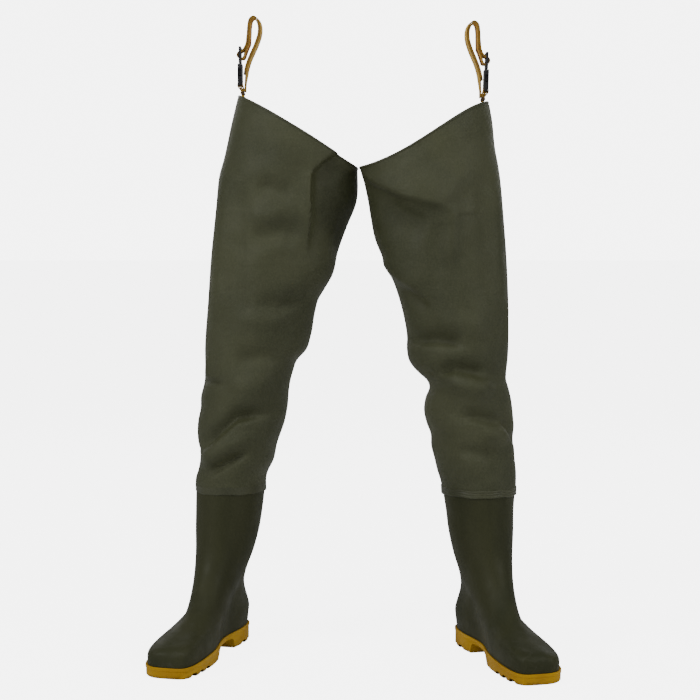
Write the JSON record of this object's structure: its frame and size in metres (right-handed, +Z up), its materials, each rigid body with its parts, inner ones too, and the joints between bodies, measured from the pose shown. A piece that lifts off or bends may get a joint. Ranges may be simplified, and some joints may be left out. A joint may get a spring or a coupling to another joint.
{
  "type": "pair of thigh waders",
  "caption": "Pair of thigh waders: PVC boots with cleated soles, welded fabric legs cut on a slant, and belt straps with side-release buckles.",
  "frame": {"origin": "on the floor under the middle of the pair's box", "axes": "+Z up; the toes point along -Y; +X is the wearer's left"},
  "size_m": [0.6216, 0.332, 1.0172],
  "materials": {
    "boot": "moulded PVC, satin",
    "sole": "moulded rubber, matt",
    "fabric": "PVC coated fabric, soft sheen",
    "weld": "welded PVC tape, satin",
    "webbing": "woven webbing, matt",
    "buckle": "moulded acetal, satin",
    "steel": "pressed steel",
    "foam": "felted foam, matt"
  },
  "bodies": {
    "right_boot": {"right_boot_shell": "boot", "right_outsole": "sole", "right_insole": "foam", "right_toe_cap": "steel", "right_shin_sleeve": "fabric", "right_weld_band": "weld", "right_shin_seam_tape": "weld", "right_knee_sleeve": "fabric"},
    "right_thigh": {"right_thigh_sleeve": "fabric", "right_top_hem": "weld", "right_thigh_seam_tape": "weld", "right_strap_anchor": "webbing", "right_strap_patch": "weld"},
    "right_strap": {"right_tab_strap": "webbing", "right_buckle_socket": "buckle"},
    "right_clip": {"right_belt_strap": "webbing", "right_buckle_clip": "buckle"},
    "right_prong_front": {"right_buckle_prong_front": "buckle"},
    "right_prong_rear": {"right_buckle_prong_rear": "buckle"},
    "left_boot": {"left_boot_shell": "boot", "left_outsole": "sole", "left_insole": "foam", "left_toe_cap": "steel", "left_shin_sleeve": "fabric", "left_weld_band": "weld", "left_shin_seam_tape": "weld", "left_knee_sleeve": "fabric"},
    "left_thigh": {"left_thigh_sleeve": "fabric", "left_top_hem": "weld", "left_thigh_seam_tape": "weld", "left_strap_anchor": "webbing", "left_strap_patch": "weld"},
    "left_strap": {"left_tab_strap": "webbing", "left_buckle_socket": "buckle"},
    "left_clip": {"left_belt_strap": "webbing", "left_buckle_clip": "buckle"},
    "left_prong_front": {"left_buckle_prong_front": "buckle"},
    "left_prong_rear": {"left_buckle_prong_rear": "buckle"}
  },
  "joints": [
    {"name": "right_knee", "type": "hinge", "parent": "right_boot", "child": "right_thigh", "pos_m": [-0.14821, 0.08, 0.511], "axis": [-1, 0, 0], "range_deg": [0, 75], "deforming": ["right_knee_sleeve"]},
    {"name": "right_strap_swing", "type": "hinge", "parent": "right_thigh", "child": "right_strap", "pos_m": [-0.17271, 0.08, 0.895], "axis": [0, -1, 0], "range_deg": [-65, 65]},
    {"name": "right_clip_release", "type": "slide", "parent": "right_strap", "child": "right_clip", "axis": [0, 0, 1], "range_m": [0, 0.026]},
    {"name": "right_prong_front", "type": "hinge", "parent": "right_clip", "child": "right_prong_front", "pos_m": [-0.17671, 0.0678, 0.9417], "axis": [1, 0, 0], "range_deg": [0, 8], "stiffness_Nm_per_rad": 0.05},
    {"name": "right_prong_rear", "type": "hinge", "parent": "right_clip", "child": "right_prong_rear", "pos_m": [-0.17671, 0.0922, 0.9417], "axis": [-1, 0, 0], "range_deg": [0, 8], "stiffness_Nm_per_rad": 0.05},
    {"name": "pair_spread", "type": "slide", "parent": "right_boot", "child": "left_boot", "axis": [1, 0, 0], "range_m": [0, 0.3]},
    {"name": "left_knee", "type": "hinge", "parent": "left_boot", "child": "left_thigh", "pos_m": [0.16796, 0.044, 0.511], "axis": [-1, 0, 0], "range_deg": [0, 75], "deforming": ["left_knee_sleeve"]},
    {"name": "left_strap_swing", "type": "hinge", "parent": "left_thigh", "child": "left_strap", "pos_m": [0.20808, 0.044, 0.8825], "axis": [0, 1, 0], "range_deg": [-65, 65]},
    {"name": "left_clip_release", "type": "slide", "parent": "left_strap", "child": "left_clip", "axis": [0.0262, 0, 0.9997], "range_m": [0, 0.026]},
    {"name": "left_prong_front", "type": "hinge", "parent": "left_clip", "child": "left_prong_front", "pos_m": [0.2133, 0.0318, 0.92908], "axis": [0.9997, 0, -0.0262], "range_deg": [0, 8], "stiffness_Nm_per_rad": 0.05},
    {"name": "left_prong_rear", "type": "hinge", "parent": "left_clip", "child": "left_prong_rear", "pos_m": [0.2133, 0.0562, 0.92908], "axis": [-0.9997, 0, 0.0262], "range_deg": [0, 8], "stiffness_Nm_per_rad": 0.05}
  ],
  "couplings": [
    {"joint": "right_prong_rear", "follows": "right_prong_front", "ratio": 1},
    {"joint": "left_prong_rear", "follows": "left_prong_front", "ratio": 1}
  ]
}
